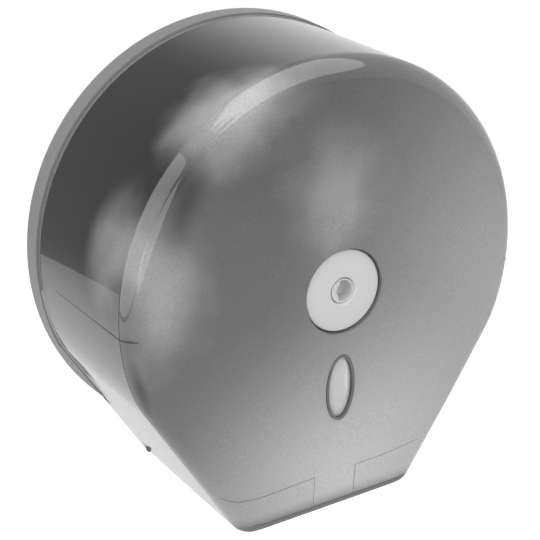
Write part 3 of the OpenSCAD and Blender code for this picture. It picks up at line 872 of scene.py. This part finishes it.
    def rings(self, d: float) -> list[np.ndarray]:
        """Rings of the skin, from the back edge to the crown.

        Args:
            d: Depth inside the outer surface.

        Returns:
            The rings, each of equally many points (across, up, out from the wall).
        """
        n = len(self.edge_radii)
        flat, inset = np.ones(n), np.full(n, d)
        up = self.section(self.back_gap, 0.0)[:, 1]
        raised = inset - (self.bead_h * ease((up - self.bead_low) / self.bead_ease) if d == 0 else 0)
        bead = self.seam_at(up) + self.bead_w
        made = [self.ring_at(flat * self.back_gap, raised), self.ring_at(bead, raised)]
        made.append(self.ring_at(bead + self.bead_h, inset))
        made.append(self.ring_at(flat * 0.5 * self.corner_start, inset))
        rest = self.side_stop - self.corner_start
        for k in range(self.side_steps + 1):
            made.append(self.ring_at(self.corner_start + rest * k / self.side_steps, inset))
        top = math.pi / 2 - self.crown_slope
        for i in range(1, self.round_steps + 1):
            made.append(self.round_ring(self.edge_start + (top - self.edge_start) * i / self.round_steps, d))
        edge = made[-1][:, :2]
        for k in self.crown_rings:
            z = self.edge_z - d + self.crown_rise * (1 - k * k)
            made.append(np.column_stack([edge * k, np.full(n, z)]))
        return made

    def skin(self, name: str) -> Obj:
        """The closed shell before its holes are cut.

        Args:
            name: The object's name.

        Returns:
            The shell, with an outer and an inner skin.
        """
        outer, inner = self.rings(0.0), self.rings(self.shell)
        m, n = len(outer), len(outer[0])
        points = [tuple(p) for one in outer + inner for p in one]
        points += [(0.0, 0.0, self.depth), (0.0, 0.0, self.depth - self.shell)]
        faces = []
        for side in (0, 1):
            base = side * m * n
            for i in range(m - 1):
                for j in range(n):
                    a, b = base + i * n + j, base + i * n + (j + 1) % n
                    faces.append((a, b, b + n, a + n))
            last = base + (m - 1) * n
            faces += [(last + j, last + (j + 1) % n, 2 * m * n + side) for j in range(n)]
        faces += [(j, (j + 1) % n, m * n + (j + 1) % n, m * n + j) for j in range(n)]
        return outward(make_object(name, points, faces))


@dataclass
class Cover(Assembly):
    """The hinged cover with its window, tear bars and lock recess."""

    kept: tuple[tuple[str, Finish], ...] = (
        ("window_frame", SMOKE_TRIM),
        ("window_lens", CLEAR_LENS),
        ("tear_bar_left", TEAR_GREY),
        ("tear_bar_right", TEAR_GREY),
    )
    skins: tuple[Finish, ...] = (SMOKE_CLEAR_PAINTED_LIGHT, SMOKE_FROST_PAINTED_LIGHT, SMOKE_PAINTED_GLOW, SMOKE_PAINTED_SHADE, PAINTED_RIB_TIP_SHADE, SMOKE_PAINTED_LIT_BAND)
    form: CoverForm = field(default_factory=CoverForm)
    # The lock's recess, its cup and the cup's screw holes.
    recess_r: float = 24.1
    recess_lip: float = 0.7
    recess_steps: int = 160
    recess_lip_steps: int = 8
    cup_back: float = 113.5
    cup_floor: float = 2.5
    cup_wall: float = 2.5
    nose_r: float = 9.3
    screw_circle: float = 16.1
    screw_turns: Triple = (90, 210, 330)
    screw_r: float = 1.3
    screw_deep: float = 5.5
    screw_steps: int = 32
    # The hinge's axis as (up, out), and the bosses and pin holes on it.
    hinge: tuple[float, float] = (-131.7, 10.0)
    swing_r: float = 9.5
    boss_x: float = 60.6
    boss_r: float = 5.5
    boss_l: float = 14.0
    pin_hole_r: float = 2.05
    pin_hole_l: float = 9.1
    # The paper mouth, with the lip in front of it.
    mouth_corner: float = 3.0
    mouth_rise: float = 4.0
    lip_w: float = 9.0
    # Guide ribs: height, thickness, lean, and where their outline bends round the edge.
    rib_h: float = 3.0
    rib_t: float = 1.2
    rib_turn: float = math.radians(2)
    rib_bend: float = 0.785
    rib_sink: float = 0.2
    window_up: float = -57.4
    window_w: float = 19.0
    window_h: float = 41.0
    window_reach: float = 40.0
    window_steps: int = 96
    # Hairlines in the front, drawn across and up, outside the tear bars.
    hairline_w: float = 0.35
    hairline_deep: float = 0.25
    hairline_step: float = 4.0
    hairlines: tuple[tuple[Point, ...], ...] = (
        ((-14, -132), (-14, -112.5), (-27, -113.2), (-53, -114.2), (-63.6, -112.8), (-72.5, -108.4)),
        ((14, -132), (14, -112.5), (31, -112.2), (43, -111.4), (60.3, -109.8)),
    )
    # Lines round the edge: how deep they are, how far their tool stands out, and the lip's and the
    # crease's own width and place.
    edge_line_deep: float = 0.35
    edge_line_proud: float = 0.5
    lip_turn: float = math.radians(82)
    lip_line_w: float = 0.25
    lip_line_rise: float = 3.0
    crease_line_w: float = 0.5
    crease_line_ends: tuple[float, float] = (168, 208)
    # The line over each guide rib: depth, start as a share of the side, end as a turn round the edge,
    # points along the side and round the edge, and its width at four of its points.
    rib_line_deep: float = 0.3
    rib_line_start: float = 0.3
    rib_line_turn: float = 1.3
    rib_line_steps: tuple[int, int] = (12, 8)
    rib_line_at: tuple[int, ...] = (0, 8, 15, 18)
    rib_line_w: tuple[float, ...] = (0.2, 0.4, 1.5, 0.3)
    # Where the finishes change: the lip's slant, past which the lip is painted shade; the dark rib tip, a
    # patch of painted shade; the front's tilt; and the heights between the painted light and painted shade
    # parts of the band along the seam.
    lip_slant: float = 0.75
    tip_reach: float = 8.0
    tip_high: float = 1.5
    tip_taper: float = 0.32
    tip_middle: float = 120.2
    tip_inner: float = 116.3
    front_tilt: float = 0.2
    band_heights: Triple = (-96, -12, 55)

    def mouth(self) -> Obj:
        """Makes the prism that opens the bottom for the paper.

        Returns:
            The prism.
        """
        f, low = self.form, -self.form.drop
        half = [f.flare_x(f.flare_r(z) - f.shell / math.cos(f.draft), low) for z in (0.0, f.corner_start)]
        front_x, front_z = f.bottom_x + self.mouth_corner, f.side_end - self.lip_w
        shape = [(-half[0], -PAST), (half[0], -PAST), (half[1], f.corner_start), (front_x, front_z)]
        shape += [(-front_x, front_z), (-half[1], f.corner_start)]
        return prism("mouth_cut", shape, low - f.shell, low + 2 * f.shell + self.mouth_rise, Along.UP)

    def rib(self, side: int) -> Obj:
        """Makes a guide rib: a fin along the inside of one side wall that ends in the rounded edge.

        Args:
            side: -1 for the left one, 1 for the right one.

        Returns:
            The rib.
        """
        f = self.form
        back, r = f.side_end / 2, f.edge_r - f.shell / 2
        wall, end = f.side_r(back), f.side_r(f.side_end)
        mid = end - f.edge_r * math.cos(f.edge_start)
        shape = [(wall - f.shell / 2, back), (end - f.shell / 2, f.side_end)]
        shape += [(mid + r * math.cos(self.rib_bend), f.round_z + r * math.sin(self.rib_bend))]
        shape += [(mid, f.round_z + r - self.rib_sink), (mid, f.round_z + r - f.shell - self.rib_h)]
        shape += [(end - f.shell - self.rib_h, f.side_end - self.rib_h), (wall - f.shell, back)]
        fin = prism("rib", [(side * x, z) for x, z in shape], -self.rib_t / 2, self.rib_t / 2, Along.UP)
        fin.data.transform(Matrix.Rotation(side * self.rib_turn, 4, "Y"))
        return fin

    def recess(self) -> Obj:
        """Makes the lock's recess with its rounded edge, and the hole through its floor.

        Returns:
            The turned tool.
        """
        lip, face, r, floor = self.recess_lip, self.form.depth, self.recess_r, self.cup_back + self.cup_floor
        shape = [(AXIS, self.cup_back - PAST), (self.nose_r, self.cup_back - PAST), (self.nose_r, floor)]
        shape.append((r, floor))
        for t in np.linspace(0, math.pi / 2, self.recess_lip_steps):
            shape.append((r + lip - lip * math.cos(t), face - lip + lip * math.sin(t)))
        shape += [(r + lip, face + 3 * PAST), (AXIS, face + 3 * PAST)]
        return revolve("recess", shape, self.recess_steps)

    def additions(self) -> list[Obj]:
        """Makes what is joined to the skin.

        Returns:
            The lock's cup, the hinge bosses and the guide ribs.
        """
        top, outer = self.form.depth - self.form.shell / 2, self.recess_r + self.cup_wall
        adds = [revolve("cup", [(AXIS, self.cup_back), (outer, self.cup_back), (outer, top), (AXIS, top)])]
        for side in (-1, 1):
            ends = (side * self.boss_x, side * (self.boss_x + self.boss_l))
            boss = rod("boss", *ends, self.hinge, self.boss_r)
            adds.append(carve(boss, [self.beyond_flare(side)], Cut.TAKE))
            adds.append(self.rib(side))
        return adds

    def openings(self) -> list[Obj]:
        """Makes what is cut out of the skin.

        Returns:
            Tools for the seam, the heel, the mouth, the recess, the holes and the window.
        """
        f, (up, out) = self.form, self.hinge
        heights = np.linspace(f.seam_low, f.rim_r, f.seam_steps)
        seam = [(f.seam_low, -PAST)] + [(high, float(f.seam_at(high))) for high in heights]
        seam += [(BIG, float(f.seam_at(f.rim_r))), (BIG, -PAST)]
        heel = block("heel", (-BIG, up - BIG, -PAST), (BIG, up, out))
        carve(heel, [rod("swing", -BIG, BIG, self.hinge, self.swing_r)], Cut.TAKE)
        cuts = [prism("seam", seam, -BIG, BIG, Along.ACROSS), heel, self.mouth(), self.recess()]
        for side in (-1, 1):
            ends = (side * (self.boss_x - PAST), side * (self.boss_x + self.pin_hole_l))
            cuts.append(rod("pin_hole", *ends, self.hinge, self.pin_hole_r))
        for turn in map(math.radians, self.screw_turns):
            at = (self.screw_circle * math.cos(turn), self.screw_circle * math.sin(turn))
            pilot = ring(at, self.screw_r, self.screw_r, self.screw_steps)
            cuts.append(prism("pilot", pilot, self.cup_back - PAST, self.cup_back + self.screw_deep))
        oval = ring((0.0, self.window_up), self.window_w / 2, self.window_h / 2, self.window_steps)
        window = prism("window_cut", oval, f.depth - self.window_reach, f.depth + self.window_reach)
        return cuts + [window]

    def front_groove(self, body: Obj, line: Sequence[Point]) -> Obj:
        """Makes the strip that cuts a hairline into the front.

        Args:
            body: The cover so far, whose front the line follows.
            line: The line, drawn across and up.

        Returns:
            The closed strip.
        """
        path = along_line(line, self.hairline_step)
        heights = []
        for x, up in path:
            hit, place, _, _ = body.ray_cast(Vector((x, -BIG / 2, up)) * MM, Vector((0, 1, 0)))
            heights.append(-place.y / MM if hit else self.form.edge_z)
        tangent = np.gradient(path, axis=0)
        side = np.column_stack([-tangent[:, 1], tangent[:, 0]])
        side *= self.hairline_w / 2 / np.linalg.norm(side, axis=1, keepdims=True)
        out = np.array(heights)[:, None]
        low, high = out - self.hairline_deep, out + PROUD
        corners = ((-side, low), (side, low), (side, high), (-side, high))
        return channel("hairline", [np.hstack([path + shift, level]) for shift, level in corners])

    def edge_groove(self, name: str, turned: float, wide: float, part: np.ndarray) -> Obj:
        """Makes the strip that cuts a line along the rounded edge.

        Args:
            name: The strip's name.
            turned: How far round the edge the line lies, from the side wall's direction.
            wide: The line's width.
            part: Which of the outline's points it passes, as one unbroken run.

        Returns:
            The closed strip.
        """
        f, deep, proud = self.form, self.edge_line_deep, -self.edge_line_proud
        corners = ((-1, deep), (1, deep), (1, proud), (-1, proud))
        rails = [f.round_ring(turned + turn * wide / 2 / f.edge_r, level) for turn, level in corners]
        first, last = np.flatnonzero(part)[[0, -1]]
        return channel(name, [rail[first : last + 1] for rail in rails])

    def edge_grooves(self) -> list[Obj]:
        """Makes the line above the lip along the bottom and the one along the crease of the left side.

        Returns:
            Both strips.
        """
        f = self.form
        plan = f.section(f.side_end, 0.0)
        turn = np.degrees(np.arctan2(plan[:, 1], plan[:, 0])) % 360
        start, end = self.crease_line_ends
        along_bottom, along_left = plan[:, 1] < self.lip_line_rise - f.drop, (turn > start) & (turn < end)
        lip = self.edge_groove("lip_line", self.lip_turn, self.lip_line_w, along_bottom)
        return [lip, self.edge_groove("crease_line", f.edge_start, self.crease_line_w, along_left)]

    def rib_groove(self, side: int) -> Obj:
        """Makes the strip that cuts the line of a guide rib into the side wall and the rounded edge.

        Args:
            side: -1 for the left rib, 1 for the right one.

        Returns:
            The closed strip.
        """
        f = self.form
        along, round_it = self.rib_line_steps
        sides = np.linspace(self.rib_line_start * f.side_end, f.side_end, along)
        turns = np.linspace(f.edge_start, self.rib_line_turn, round_it)[1:]
        mid = f.side_r(f.side_end) - f.edge_r * math.cos(f.edge_start)
        lines = []
        for proud in (-self.rib_line_deep, PROUD):
            reach = f.edge_r + proud
            line = [(f.side_r(out) + proud, out) for out in sides]
            lines.append(line + [(mid + reach * math.cos(a), f.round_z + reach * math.sin(a)) for a in turns])
        deep, high = lines
        lean, drop = math.cos(self.rib_turn), -math.sin(self.rib_turn)
        wide = np.interp(np.arange(len(deep)), self.rib_line_at, self.rib_line_w)
        rails = []
        for line, shift in ((deep, 0), (deep, 1), (high, 1), (high, 0)):
            rail = [(side * x * lean, x * drop + shift * w, z) for (x, z), w in zip(line, wide)]
            rails.append(np.array(rail))
        return channel("rib_line", rails)

    def finish_at(self, face: bpy.types.MeshPolygon) -> Finish:
        """Tells which finish a face of the moulding wears.

        Args:
            face: The face.

        Returns:
            One of the skins.
        """
        f, tilt = self.form, face.normal
        across, up, out = face.center.x / MM, face.center.z / MM, -face.center.y / MM
        wide, (low, middle, high) = abs(across), self.band_heights
        # The lock's recess is painted lighter.
        if out > self.cup_back and math.hypot(across, up) < self.recess_r + self.recess_lip:
            return SMOKE_PAINTED_GLOW
        # The lip's faces that turn down are painted shade.
        slant = max(math.cos(self.lip_turn), self.lip_slant * abs(tilt.x))
        if out > f.side_end - self.lip_w and -tilt.z > slant:
            return SMOKE_PAINTED_SHADE
        # A patch of painted shade at each guide rib's tip.
        tip = self.tip_high - self.tip_taper * abs(wide - self.tip_middle)
        over_rib = up + wide * math.tan(self.rib_turn)
        if out > f.side_end - self.tip_reach and wide > self.tip_inner and 0 < over_rib < tip:
            return PAINTED_RIB_TIP_SHADE
        if out > f.round_z and abs(tilt.y) > self.front_tilt:
            return SMOKE_FROST_PAINTED_LIGHT
        # The band by the seam is painted in light and shade by height: painted glow at the top, painted shade
        # in the middle, painted light below.
        if up > low and out < f.seam_at(up) + f.bead_w + f.bead_h:
            return SMOKE_PAINTED_GLOW if up > high else SMOKE_PAINTED_SHADE if up > middle else SMOKE_PAINTED_LIT_BAND
        return SMOKE_CLEAR_PAINTED_LIGHT

    def shell(self) -> Obj:
        """Makes the moulded cover, with polished sides, a frosted front, and painted light and painted shade
        along its back edge, its lip and its lock recess.

        Returns:
            The cover, in place of its CAD node.
        """
        body = carve(self.form.skin("cover_moulding"), self.additions(), Cut.ADD)
        carve(body, self.openings(), Cut.TAKE)
        lines = [self.front_groove(body, line) for line in self.hairlines]
        carve(body, lines + self.edge_grooves() + [self.rib_groove(-1), self.rib_groove(1)], Cut.TAKE)
        body.data.shade_smooth()
        body.data.set_sharp_from_angle(angle=SHARP)
        dress(body, *self.skins)
        order = [finish.name for finish in self.skins]
        for face in body.data.polygons:
            face.material_index = order.index(self.finish_at(face).name)
        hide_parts("cover_shell")
        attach(body, "cover")
        return body

    def beyond_flare(self, side: int) -> Obj:
        """Makes a big block outside the middle of one flared wall.

        Args:
            side: -1 for the left wall, 1 for the right one.

        Returns:
            The block.
        """
        f = self.form
        tool = block("beyond", (0, -BIG, -BIG), (BIG, BIG, BIG))
        lean = Matrix.Rotation(f.draft, 4, "Z")
        shift = Matrix.Translation(((f.flare_r(0) - f.shell / 2) * MM, 0, 0))
        tool.data.transform(Matrix.Rotation(f.flare, 4, "Y") @ shift @ lean)
        if side < 0:
            tool.data.transform(Matrix.Scale(-1, 4, (1, 0, 0)))
            tool.data.flip_normals()
        return tool

    def build(self) -> None:
        """Builds and dresses everything on the cover but the lock."""
        LOG.info("built %s", self.shell().name)
        super().build()


@dataclass
class Lock(Assembly):
    """The centre lock: disc, housing, barrel and cam."""

    kept: tuple[tuple[str, Finish], ...] = (
        ("lock_disc", LOCK_LIGHT),
        ("lock_housing", LOCK_LIGHT),
        ("lock_barrel", LOCK_LIGHT),
        ("housing_screws", ZINC_SCREW),
        ("barrel_clip", SPRING_STEEL),
        ("lock_cam", ZINC_PLATE),
        ("cam_screw", ZINC_SCREW),
    )


@dataclass
class WallSide(Assembly):
    """The wall plate, hinge pins and spindle."""

    kept: tuple[tuple[str, Finish], ...] = (
        ("back_plate", PLATE_GREY),
        ("spindle_post", PLATE_GREY),
        ("spindle_screws", ZINC_SCREW),
        ("thrust_washer", HUB_WHITE),
        ("core_adapter", HUB_WHITE),
        ("adapter_clip", SPRING_STEEL),
        ("lock_strike", ZINC_PLATE),
        ("strike_screws", ZINC_SCREW),
        ("hinge_pins", PIN_STEEL),
    )


@dataclass(frozen=True)
class Lamp:
    """A soft rectangular lamp, in metres and watts, rolled in degrees about the direction that it faces."""

    name: str
    place: Triple
    aim: Triple
    size: tuple[float, float]
    power: float
    roll: float = 0.0

    def hang(self) -> None:
        """Adds the lamp to the scene."""
        data = bpy.data.lights.new(self.name, "AREA")
        data.shape = "RECTANGLE"
        data.size, data.size_y = self.size
        data.energy = self.power
        lamp = bpy.data.objects.new(self.name, data)
        lamp.location = self.place
        lamp.rotation_mode = "QUATERNION"
        facing = (Vector(self.aim) - Vector(self.place)).to_track_quat("-Z", "Y")
        lamp.rotation_quaternion = facing @ Quaternion((0, 0, 1), math.radians(self.roll))
        bpy.context.scene.collection.objects.link(lamp)


@dataclass
class Studio:
    """Floor, world, lamps and the photograph's camera."""

    # The camera, with its distance and target in millimetres.
    azimuth: float = math.radians(-30.4)
    elevation: float = math.radians(21.43)
    roll: float = math.radians(0.65)
    distance: float = 533.8
    focal_px: float = 921.3
    picture_px: float = 540.0
    sensor: float = 36.0
    target: Triple = (-11.2, -60.0, -5.9)
    # The surround's own light, and the share of its width over which its reflection grows, with the
    # reflection's two levels.
    soft_light: float = 0.25
    sweep: Triple = (0.6, 0.04, 0.85)
    # The floor: height, its near and far edges in metres, grey, roughness, and how bright the camera,
    # rays through the cover and reflections see it.
    floor_up: float = -0.36
    floor_edges: tuple[float, float] = (1.1, 6.0)
    floor_grey: float = 0.8
    floor_rough: float = 0.8
    floor_glow: tuple[tuple[str, float], ...] = (
        ("Is Camera Ray", 0.7),
        ("Is Transmission Ray", 0.5),
        ("Is Glossy Ray", 0.35),
    )
    lamps: tuple[Lamp, ...] = (
        Lamp("front_top", (0.365, -0.989, 0.632), (0.365, -0.389, -0.168), (0.83, 0.8), 3.6),
        Lamp("front_corner", (-0.175, -0.809, 0.767), (-0.175, -0.209, -0.033), (0.25, 0.35), 0.47),
        Lamp("overhead", (0.155, -0.06, 1.33), (0.155, 0.54, 0.53), (1.25, 1.525), 10.8),
        Lamp("left", (-1.2, -0.75, 0.5), (0, -0.75, 0.5), (2.8, 1.7), 19.0),
        Lamp("front_left", (-0.45, -1.58, -0.2), (-0.05, -0.663, -0.2), (1.1, 0.8), 4.2, roll=-50),
    )

    def camera(self) -> None:
        """Places the camera where the photograph was taken from."""
        a, e, s = self.azimuth, self.elevation, self.roll
        back = Vector((math.sin(a) * math.cos(e), -math.cos(a) * math.cos(e), math.sin(e)))
        right = Vector((math.cos(a), math.sin(a), 0.0))
        up = back.cross(right)
        right, up = math.cos(s) * right + math.sin(s) * up, math.cos(s) * up - math.sin(s) * right
        data = bpy.data.cameras.new("camera")
        data.sensor_width = self.sensor
        data.lens = self.focal_px / self.picture_px * self.sensor
        cam = bpy.data.objects.new("camera", data)
        turn = Matrix((right, up, back)).transposed().to_4x4()
        turn.translation = (Vector(self.target) + back * self.distance) * MM
        cam.matrix_world = turn
        bpy.context.scene.collection.objects.link(cam)
        bpy.context.scene.camera = cam

    def world(self) -> None:
        """Makes a white surround for the camera and what shows through, and a softer one that lights."""
        world = bpy.data.worlds.new("surround")
        bpy.context.scene.world = world
        world.use_nodes = True
        tree = world.node_tree
        tree.nodes.clear()
        path = tree.nodes.new("ShaderNodeLightPath").outputs
        apart = tree.nodes.new("ShaderNodeSeparateXYZ")
        tree.links.new(tree.nodes.new("ShaderNodeTexCoord").outputs["Generated"], apart.inputs[0])
        sweep = tree.nodes.new("ShaderNodeMapRange")
        sweep.interpolation_type = "SMOOTHSTEP"
        fill(sweep, dict(zip(("From Max", "To Min", "To Max"), self.sweep)))
        tree.links.new(apart.outputs["X"], sweep.inputs["Value"])
        mirrored = math_node(tree, "MULTIPLY", path["Is Glossy Ray"], sweep.outputs[0])
        seen = math_node(tree, "MAXIMUM", path["Is Camera Ray"], path["Is Transmission Ray"])
        white, soft = (tree.nodes.new("ShaderNodeBackground") for _ in range(2))
        fill(white, {"Color": (1, 1, 1, 1)})
        fill(soft, {"Color": (1, 1, 1, 1), "Strength": self.soft_light})
        mix = tree.nodes.new("ShaderNodeMixShader")
        tree.links.new(math_node(tree, "MAXIMUM", seen, mirrored), mix.inputs["Fac"])
        tree.links.new(soft.outputs[0], mix.inputs[1])
        tree.links.new(white.outputs[0], mix.inputs[2])
        tree.links.new(mix.outputs[0], tree.nodes.new("ShaderNodeOutputWorld").inputs["Surface"])

    def floor(self) -> None:
        """Makes a pale floor below the object that the camera sees as white."""
        mesh = bpy.data.meshes.new("floor")
        h, (near, far) = self.floor_up, self.floor_edges
        corners = [(-near, -far, h), (far, -far, h), (far, near, h), (-near, near, h)]
        mesh.from_pydata(corners, [], [(0, 1, 2, 3)])
        obj = bpy.data.objects.new("floor", mesh)
        bpy.context.scene.collection.objects.link(obj)
        made = bpy.data.materials.new("floor_white")
        made.use_nodes = True
        tree = made.node_tree
        shader = tree.nodes["Principled BSDF"]
        white = {"Base Color": (*(self.floor_grey,) * 3, 1), "Emission Color": (1, 1, 1, 1)}
        fill(shader, white | {"Roughness": self.floor_rough})
        path = tree.nodes.new("ShaderNodeLightPath").outputs
        glows = [math_node(tree, "MULTIPLY", path[ray], level) for ray, level in self.floor_glow]
        glow = reduce(lambda a, b: math_node(tree, "MAXIMUM", a, b), glows)
        tree.links.new(glow, shader.inputs["Emission Strength"])
        mesh.materials.append(made)

    def build(self) -> None:
        """Sets the stage."""
        bpy.context.scene.view_settings.view_transform = "Standard"
        self.camera()
        self.world()
        self.floor()
        for lamp in self.lamps:
            lamp.hang()


def main() -> None:
    """Builds the stage and each assembly."""
    Effects().build()
    Studio().build()
    for part in (WallSide(), Cover(), Lock()):
        part.build()
        LOG.info("finished %s", type(part).__name__)


if __name__ == "__main__":
    logging.basicConfig(level=logging.INFO, format="%(name)s: %(message)s")
    main()
